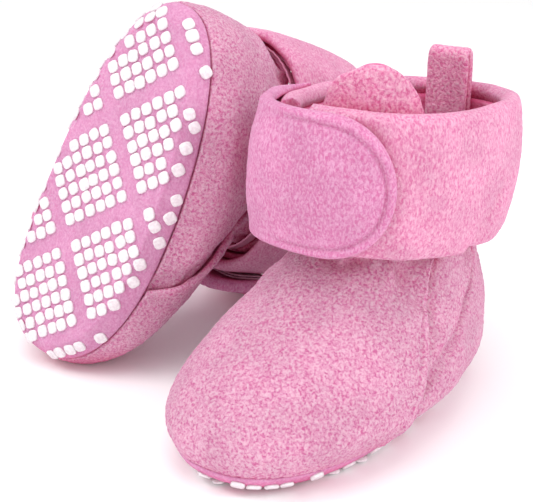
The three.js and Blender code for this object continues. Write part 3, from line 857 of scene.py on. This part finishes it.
@dataclass
class Upper(Bootie):
    """Vamp and quarter with their linings, and the elastic that gathers the ankle."""

    FOLD_LINES = (
        (((24, 50), (17, 40), (9, 32), (0, 25), (-9, 16)), 1.3, -1.9),
        (((-44, 51), (-33, 46), (-22, 40), (-12, 36)), 1.6, -1.5),
        (((-52, 46), (-40, 41), (-28, 36), (-18, 33)), 2.4, 0.9),
        (((-14, 52), (-18, 46), (-17, 40)), 1.5, -1.1),
        (((-96, 53), (-80, 50), (-64, 52)), 1.8, -1.0),
        (((-150, 50), (-160, 42), (-172, 36)), 1.6, -1.6),
        (((172, 48), (180, 38), (186, 28)), 1.4, -1.5),
    )
    DENTS = (
        (-34, 49, 7, 7, -1.7), (-20, 42, 5, 9, 0.8), (-80, 52, 26, 3.2, -0.9), (-148, 46, 9, 8, -1.2),
        (14, 38, 9, 7, 1.4), (26, 25, 12, 6, 0.9), (150, 36, 10, 6, -1.0), (-128, 44, 7, 7, -0.8),
    )
    rear_top: float = 12.0
    rear_foot: float = -22.0
    tuck_under: float = 2.6
    tuck_depth: float = 1.5
    pillow: float = 1.5
    pillow_at: float = 10.5
    pillow_width: float = 4.5
    proud: float = 0.95
    proud_beneath: float = 1.45
    stitch_at: float = 3.4
    stitch_depth: float = 0.45
    puff: float = 0.5
    vamp_run: float = 150.0
    quarter_run: float = 130.0
    panel_height: float = 48.0
    lining_bottom: float = 7.8
    elastic_height: float = 4.5

    def seam(self, bottom: float, v: np.ndarray, behind: float) -> np.ndarray:
        """Angle of the vamp's rear edge at each fraction of the height."""
        z = bottom + (ANKLE_TOP - bottom) * v
        rear = self.rear_foot + (z - SEAM_HEIGHT) / (ANKLE_TOP - SEAM_HEIGHT) * (self.rear_top - self.rear_foot)
        return FOOT.turn_at(z, rear + behind)

    def folds(self, turn: np.ndarray, z: np.ndarray) -> np.ndarray:
        """Depth of the soft folds: gathers under the cuff, and the dents over the ankle."""
        degrees = np.degrees(turn)
        gather = smooth(z - ankle_top_at(turn), -17, -4)
        depth = gather * 0.55 * (np.sin(degrees * 0.31 + 1.2) + 0.6 * np.sin(degrees * 0.53))
        for centre, height, wide, tall, deep in self.DENTS:
            depth = depth + deep * np.exp(-((degrees - centre) / wide) ** 2 - ((z - height) / tall) ** 2)
        for line, width, deep in self.FOLD_LINES:
            depth = depth + deep * crease(turn, z, line, width)
        slack = smooth(z, 10, 22) * smooth(z, 58, 50)
        return depth + 0.55 * slack * nap(FOOT.point(turn, z), 13.0, 2.0)

    def panel(
        self, part: str, slot: str, bottom: float, depth: tuple[float, float], rear: bool,
        size: tuple[int, int], behind: float, relief: float, grain: float
    ) -> bpy.types.Object:
        """One panel of the upper.

        Args:
            part: CAD node, without the side's name.
            slot: Material slot.
            bottom: Height of its lower edge.
            depth: Offsets of its outer and inner face.
            rear: Whether it goes round the heel.
            size: Columns and rows.
            behind: How far its edges lie behind the vamp's rear edge.
            relief: Height of the pile.
            grain: Size of a tuft.

        Returns:
            The piece.
        """
        u, v = np.meshgrid(spread(size[0], 0.02), spread(size[1], 0.04), indexing="ij")
        edge = self.seam(bottom, v, behind)
        first, last = (edge, math.pi - edge) if rear else (-math.pi - edge, edge)
        turn = first + (last - first) * u
        z = bottom + (ankle_top_at(turn) - bottom) * v
        beside = np.minimum(u, 1 - u) * (self.quarter_run if rear else self.vamp_run)
        thin = rounded(np.minimum(v, 1 - v) * self.panel_height, 0.5) * rounded(beside, 0.8)
        outer, inner = depth[0] + self.folds(turn, z), depth[1] + self.folds(turn, z)
        if slot == "upper_fleece" and rear:
            tuck = smooth(beside, 6.5, 3.2)
            bulge = np.exp(-(((beside - self.pillow_at) / self.pillow_width) ** 2)) * smooth(v, 0.0, 0.25)
            outer, inner = outer - self.tuck_depth * tuck + self.pillow * bulge, inner + 0.1 * tuck
            thin = np.maximum(thin, 0.25) * (thin > 0)
        elif slot == "upper_fleece":
            proud = smooth(beside, 6.0, 1.6)
            stitch = -self.stitch_depth * np.exp(-((beside - self.stitch_at) / 0.7) ** 2)
            outer = outer + self.proud * proud + stitch + self.puff * np.sin(math.pi * v)
            inner = inner + self.proud_beneath * proud
        panel = Panel(self.name(part), FOOT, turn, z, outer, inner, thin, grain, relief, False, 5.0)
        return self.keep(panel.build(self.place), slot, "bootie", [part])

    def build(self) -> None:
        """Makes the four panels and the elastic."""
        low = SEAM_HEIGHT + 0.05
        liner = -(FLEECE + GAP)
        self.panel("vamp", "upper_fleece", low, (0.0, -FLEECE), False, (300, 100), 0.0, 0.27, 1.15)
        self.panel("quarter", "upper_fleece", low, (-0.1, -FLEECE), True, (260, 96), -self.tuck_under, 0.25, 1.15)
        inside = (liner, liner - LINING)
        foot = self.lining_bottom
        self.panel("vamp_lining", "lining_fleece", foot, inside, False, (90, 40), 3.0, 0.15, 1.3)
        self.panel("quarter_lining", "lining_fleece", foot, inside, True, (80, 40), 3.5, 0.15, 1.3)
        self.elastic()

    def elastic(self) -> None:
        """The narrow band that gathers the ankle under the cuff."""
        turn, v = np.meshgrid(np.linspace(0, 2 * math.pi, 180, endpoint=False), spread(12, 0.15), indexing="ij")
        z = ankle_top_at(turn) - self.elastic_height - GAP + self.elastic_height * v
        thin = rounded(np.minimum(v, 1 - v) * self.elastic_height, 0.5)
        ripple = 0.12 * np.sin(turn * 60)
        panel = Panel(
            self.name("ankle_elastic"), FOOT, turn, z, 1.9 + ripple, 1.2 + ripple, thin, 0.6, 0.03, True, 9.0
        )
        self.keep(panel.build(self.place), "elastic", "bootie", ["ankle_elastic"])


@dataclass
class Cuff(Bootie):
    """The padded band round the ankle with its rolled rim, and the inner wall of the shaft."""

    FOLD_LINES = (
        (((8, 68), (0, 60), (-6, 52), (-8, 46)), 2.4, -2.2),
        (((-6, 66), (-12, 58), (-17, 50)), 3.5, 0.9),
        (((150, 84), (160, 70), (158, 56)), 3.0, -1.0),
    )
    band_end: float = -100.0
    band_root: float = 232.0
    band_run: float = 190.0
    slit: float = -114.0
    rim_roll: float = 5.9
    rim_round: float = 2.9
    hem_round: float = 1.8
    lining_height: float = 34.0
    lining_run: float = 180.0
    lining_sweep: float = 348.0

    def build(self) -> None:
        """Makes the band and the lining."""
        u, v = np.meshgrid(spread(330, 0.012), spread(72, 0.05), indexing="ij")
        turn = np.radians(self.band_end + (self.band_root - self.band_end) * u)
        z = hem_at(turn) + (rim_at(turn) - hem_at(turn)) * v
        tall = rim_at(turn) - hem_at(turn)
        roll = smooth((1 - v) * tall, 7.0, 1.5)
        outer = 0.35 * np.sin(v * math.pi) - 0.5 * smooth(v * tall, 5, 0)
        degrees = np.degrees(turn)
        wave = 0.5 * np.sin(degrees * 0.11) * np.sin(v * 3.1) + 0.35 * np.sin(degrees * 0.23 + v * 4)
        folds = sum(deep * crease(turn, z, line, width) for line, width, deep in self.FOLD_LINES)
        outer = outer + folds + wave * 0.6
        inner = -CUFF_THICKNESS - (self.rim_roll - CUFF_THICKNESS) * roll
        inner = inner + 0.35 * np.minimum(folds, 0) + wave * 0.3
        thin = rounded((1 - v) * tall, self.rim_round) * rounded(v * tall, self.hem_round)
        thin = thin * rounded(np.minimum(u, 1 - u) * self.band_run, self.hem_round)
        panel = Panel(self.name("cuff_band"), CUFF, turn, z, outer, inner, thin, 1.0, 0.14, False, 21.0)
        piece = self.keep(panel.build(self.place), "cuff_fleece", "bootie", ["cuff_band"])
        self.lining()

    def lining(self) -> None:
        """The inner wall, open at the front behind the tongue."""
        u, v = np.meshgrid(spread(150, 0.02), spread(34, 0.05), indexing="ij")
        turn = np.radians(self.slit + 6 + self.lining_sweep * u)
        low, high = ankle_top_at(turn) + 0.6, rim_at(turn) - 4.5
        z = low + (high - low) * v
        thin = rounded(np.minimum(v, 1 - v) * self.lining_height, 1.0)
        thin = thin * rounded(np.minimum(u, 1 - u) * self.lining_run, 1.0)
        outer = np.full_like(u, -(CUFF_THICKNESS + 0.6))
        panel = Panel(self.name("cuff_lining"), CUFF, turn, z, outer, outer - LINING, thin, 1.2, 0.15, False, 31.0)
        self.keep(panel.build(self.place), "lining_fleece", "bootie", ["cuff_lining"])


@dataclass
class Strap(Bootie):
    """The free end of the cuff band, which wraps over the front and ends in a round tab."""

    root: float = -176.0
    full: float = -150.0
    hinge: float = -148.0
    lifted: float = -112.0
    tab_start: float = -88.0
    tab_tip: float = -57.5
    half_height: float = 18.4
    rise: float = 0.8
    face: float = 2.2
    facing: float = 1.6
    over_patches: float = 2.3
    tab_power: float = 2.3
    tab_reach: float = 17.0
    facing_root: float = -156.0
    facing_inset: float = 3.2
    blend_height: float = 72.9
    blend_reach: float = 9.0

    def outline(self, turn: np.ndarray) -> tuple[np.ndarray, np.ndarray]:
        """Middle height and half height of the strap at each angle, in degrees.

        Args:
            turn: Angles in degrees.

        Returns:
            The middle and the half height, in millimetres.
        """
        angle = np.radians(turn)
        middle = (hem_at(angle) + rim_at(angle)) / 2 + self.rise
        along = np.clip((turn - self.tab_start) / (self.tab_tip - self.tab_start), 0, 1)
        return middle, self.round_end(along)

    def round_end(self, along: np.ndarray) -> np.ndarray:
        """Half height of the round tab at each fraction of its length."""
        return self.half_height * np.sqrt(np.clip(1 - along**self.tab_power, 0, 1))

    def layer(self, part: str, start: float, depth: tuple[float, float], size: tuple[int, int], inset: float,
              relief: float) -> bpy.types.Object:
        """One layer of the strap.

        Args:
            part: CAD node, without the side's name.
            start: Angle at which it begins, in degrees.
            depth: Its inner and outer face over the strap's inner face.
            size: Columns and rows.
            inset: How far its edge lies inside the strap's outline.
            relief: Height of the pile.

        Returns:
            The piece.
        """
        columns, rows = size
        straight = int(columns * 0.6)
        tip = self.tab_tip - inset / 0.5
        sweep = np.sin(np.linspace(0, math.pi / 2, columns - straight))
        turns = np.concatenate([
            start + (self.tab_start - start) * spread(straight + 1, 0.02)[:-1],
            self.tab_start + (tip - self.tab_start) * sweep,
        ])
        degrees, q = np.meshgrid(turns, 2 * spread(rows, 0.04) - 1, indexing="ij")
        middle, half = self.outline(degrees)
        along = np.clip((degrees - self.tab_start) / (tip - self.tab_start), 0, 1)
        half = np.where(along > 0, self.round_end(along), half) - inset
        half = np.maximum(half, 0)
        z = middle + q * half
        beside = (1 - np.abs(q)) * half
        from_middle = np.sqrt(np.clip(along**self.tab_power + (q * half / self.half_height) ** 2, 0, 1))
        reach = (1 - from_middle) * self.tab_reach
        near = np.where(along > 0, np.minimum(beside, reach), beside)
        ramp = smooth(degrees, start, self.full)
        lift = GAP + self.over_patches * smooth(degrees, self.hinge + 6, self.lifted)
        fade = 0.3 + 0.7 * ramp
        ridge = 0.25 * np.exp(-((near - 1.1) / 0.8) ** 2) - 0.8 * np.exp(-((near - 2.6) / 0.5) ** 2)
        ridge = ridge * smooth(degrees, -112, -92)
        crown = 0.9 * smooth(near, 2.5, 12)
        top = lift + depth[1] * fade + ramp * (ridge + crown if relief > 0.1 else 0 * crown)
        roll = smooth(near, 3.0, 1.6) if relief > 0.1 else 0.0
        bottom = lift + (depth[0] + (0.1 - depth[0]) * roll) * fade + 0 * top
        thin = rounded(near, 1.5) * rounded(np.abs(degrees - start) * 0.5, 3.0)
        turn = np.radians(degrees)
        panel = Panel(self.name(part), CUFF, turn, z, top, bottom, thin, 0.95, relief, False, 41.0)
        piece = panel.build(self.place)
        self.keep(piece, "strap_fleece", "", [part])
        angles = np.radians([self.hinge - self.blend_reach, self.hinge + self.blend_reach])
        ends = CUFF.point(angles, np.full(2, self.blend_height))
        start_point, end_point = (tuple(self.place.apply(p)[0]) for p in ends)
        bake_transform(piece)
        return piece

    def patch(self, part: str, body: str, low: float) -> None:
        """A patch of the closure, on the band or inside the tab."""
        u, v = np.meshgrid(spread(34, 0.05), spread(34, 0.05), indexing="ij")
        turn = np.radians(-94 + 24 * u)
        middle = (hem_at(turn) + rim_at(turn)) / 2 + self.rise
        z = middle + (2 * v - 1) * self.half_height / 2
        thin = rounded(np.minimum(v, 1 - v) * 18, 0.5) * rounded(np.minimum(u, 1 - u) * 16, 0.5)
        outer = np.full_like(u, low + 0.6)
        panel = Panel(self.name(part), CUFF, turn, z, outer, outer - 0.6, thin, 0.5, 0.05, False, 51.0)
        self.keep(panel.build(self.place), "closure", body, [part])

    def build(self) -> None:
        """Makes both layers and both patches."""
        face = self.facing + GAP
        strap = self.layer("strap", self.root, (face, face + self.face), (190, 92), 0.0, 0.13)
        self.layer("strap_facing", self.facing_root, (0.0, self.facing), (90, 50), self.facing_inset, 0.08)
        self.patch("loop_patch", "bootie", 0.65)
        self.patch("hook_patch", "strap_body", 1.55)


@dataclass
class Tongue(Bootie):
    """The crowned panel that stands up inside the cuff, and its lining."""

    middle: float = -68.0
    half_sweep: float = 40.0
    top: float = 102.5
    shoulder: float = 82.0
    out: float = -6.9
    face: float = 2.6

    def layer(self, part: str, slot: str, out: float, thick: float, size: tuple[int, int], crown: float) -> None:
        """One layer of the tongue.

        Args:
            part: CAD node, without the side's name.
            slot: Material slot.
            out: Offset of its outer face from the cuff's.
            thick: Its thickness.
            size: Columns and rows.
            crown: How far its middle stands out.
        """
        u, v = np.meshgrid(spread(size[0], 0.03), spread(size[1], 0.04), indexing="ij")
        turn = np.radians(self.middle + (2 * u - 1) * self.half_sweep)
        arch = np.clip(1 - np.abs(2 * u - 1) ** 2.4, 0, 1) ** 0.5
        high = self.shoulder + (self.top - self.shoulder) * arch
        low = ankle_top_at(turn) + 0.9
        z = low + (high - low) * v
        edge = np.minimum(np.minimum(v, 1 - v) * 42, np.minimum(u, 1 - u) * 38)
        thin = rounded(edge, 1.7)
        lift = crown * smooth(edge, 0, 9) - 0.9 * smooth(v, 0.75, 1.0) * crown
        outer = out + lift
        panel = Panel(self.name(part), CUFF, turn, z, outer, outer - thick, thin, 1.5, 0.24, False, 61.0)
        piece = self.keep(panel.build(self.place), slot, "tongue_body", [part])

    def build(self) -> None:
        """Makes the face and the lining."""
        self.layer("tongue_face", "tongue_fleece", self.out - 0.2, self.face, (90, 76), 0.35)
        self.layer("tongue_lining", "lining_fleece", self.out - self.face - 0.5, LINING, (70, 60), 0.0)


@dataclass
class PullTab(Bootie):
    """The folded strip at the back of the rim."""

    width: float = 13.0
    bottom: float = 70.0
    top: float = 97.5
    middle_x: float = 3.94
    outer_y: float = 51.6
    thick: float = 5.4
    layer: float = 2.3

    def build(self) -> None:
        """Lofts the strip up its outer side, over the fold and down its inner side."""
        gap = (self.thick - self.layer) / 2
        centre = self.outer_y - self.thick / 2
        crest = self.top - self.layer / 2 - gap
        up = [(centre + gap, z) for z in np.linspace(self.bottom + 1, crest, 40, endpoint=False)]
        over = [(centre + gap * math.cos(a), crest + gap * math.sin(a)) for a in np.linspace(0, math.pi, 15)]
        down = [(centre - gap, z) for z in np.linspace(crest, self.bottom + 1, 41)[1:]]
        path = np.array(up + over + down)
        tangent = np.gradient(path, axis=0)
        tangent /= np.linalg.norm(tangent, axis=1, keepdims=True)
        normal = np.stack([tangent[:, 1], -tangent[:, 0]], 1)
        across = spread(30, 0.1)
        ends = np.minimum(np.arange(len(path)), np.arange(len(path))[::-1]) * 0.62
        u, w = np.meshgrid(np.arange(len(path)), across, indexing="ij")
        narrow = 1 - 0.05 * np.exp(-((path[u, 1] - self.top) / 4) ** 2)
        x = self.middle_x + (w - 0.5) * self.width * narrow
        thin = rounded(np.minimum(w, 1 - w) * self.width, 1.1) * rounded(ends[u], 1.0)
        base = np.stack([x, path[u, 0], path[u, 1]], -1)
        direction = np.stack([0 * x, normal[u, 0], normal[u, 1]], -1)
        pile = nap(base, 1.2, 71.0) * 0.16 * np.minimum(1, thin * 1.5)
        outside = base + direction * (self.layer / 2 * thin + pile)[..., None]
        inside = base - direction * (self.layer / 2 * thin - pile * 0.5)[..., None]
        flat = thin < 1e-6
        inside[flat] = outside[flat]
        points, faces = shell(outside, inside, False)
        piece = mesh_object(self.name("pull_tab"), points, [tuple(reversed(f)) for f in faces], self.place)
        self.keep(piece, "tongue_fleece", "pull_tab_body", ["pull_tab"])


# ---------------------------------------------------------------------------------------------------
# Studio
# ---------------------------------------------------------------------------------------------------


@dataclass
class Studio:
    """Pale floor, soft lights and the camera."""

    azimuth: float = 35.4
    elevation: float = 21.1
    distance: float = 301.5
    focal: float = 1040.0
    frame_width: float = 533.0
    aim: tuple[float, float, float] = (-26.1, -2.2, 42.5)

    def build(self) -> None:
        """Sets up floor, lights, world and camera."""
        self.floor()
        self.camera()
        self.lamp("key", (-0.65, -0.6, 0.95), 0.45, 4.2)
        self.lamp("top", (0.05, -0.25, 1.2), 0.9, 5.2)
        self.lamp("rim", (0.9, 0.25, 0.5), 0.5, 3.8)
        self.lamp("fill", (0.45, -0.95, 0.35), 0.8, 2.8)
        world = bpy.data.worlds.new("white room")
        bpy.context.scene.world = world
        world.use_nodes = True
        world.node_tree.nodes["Background"].inputs["Color"].default_value = (1, 1, 1, 1)
        world.node_tree.nodes["Background"].inputs["Strength"].default_value = 0.8
        bpy.context.scene.view_settings.view_transform = "Standard"

    def floor(self) -> None:
        """A white sheet under the pair."""
        bpy.ops.object.select_all(action="DESELECT")
        bpy.ops.mesh.primitive_plane_add(size=8, location=(0, 0, -0.0003))
        sheet = bpy.context.object
        sheet.name = "floor"
        made = bpy.data.materials.new("matt white paper")
        made.use_nodes = True
        skin = made.node_tree.nodes["Principled BSDF"]
        skin.inputs["Base Color"].default_value = linear("#FBFAFA")
        skin.inputs["Roughness"].default_value = 0.9
        sheet.data.materials.append(made)

    def camera(self) -> None:
        """The camera."""
        a, e = math.radians(self.azimuth), math.radians(self.elevation)
        back = Vector((math.sin(a) * math.cos(e), -math.cos(a) * math.cos(e), math.sin(e)))
        data = bpy.data.cameras.new("camera")
        data.sensor_width = 36.0
        data.lens = self.focal / self.frame_width * data.sensor_width
        data.clip_start = 0.01
        made = bpy.data.objects.new("camera", data)
        made.location = (Vector(self.aim) + back * self.distance) * MM
        made.rotation_euler = back.to_track_quat("Z", "Y").to_euler()
        bpy.context.scene.collection.objects.link(made)
        bpy.context.scene.camera = made

    def lamp(self, name: str, place: tuple[float, float, float], size: float, power: float) -> None:
        """A square soft light that faces the pair."""
        data = bpy.data.lights.new(name, "AREA")
        data.shape = "SQUARE"
        data.size = size
        data.energy = power
        made = bpy.data.objects.new(name, data)
        made.location = place
        made.rotation_euler = Vector(place).to_track_quat("Z", "Y").to_euler()
        bpy.context.scene.collection.objects.link(made)


def main() -> None:
    """Builds both booties and the studio."""
    logging.basicConfig(level=logging.INFO, format="%(message)s")
    bpy.ops.object.select_all(action="DESELECT")
    for side, place in ((Side.LEFT, STANDING), (Side.RIGHT, LEANING)):
        for part in (Sole, Upper, Cuff, Strap, Tongue, PullTab):
            part(side, place).build()
    Studio().build()


if __name__ == "__main__":
    main()
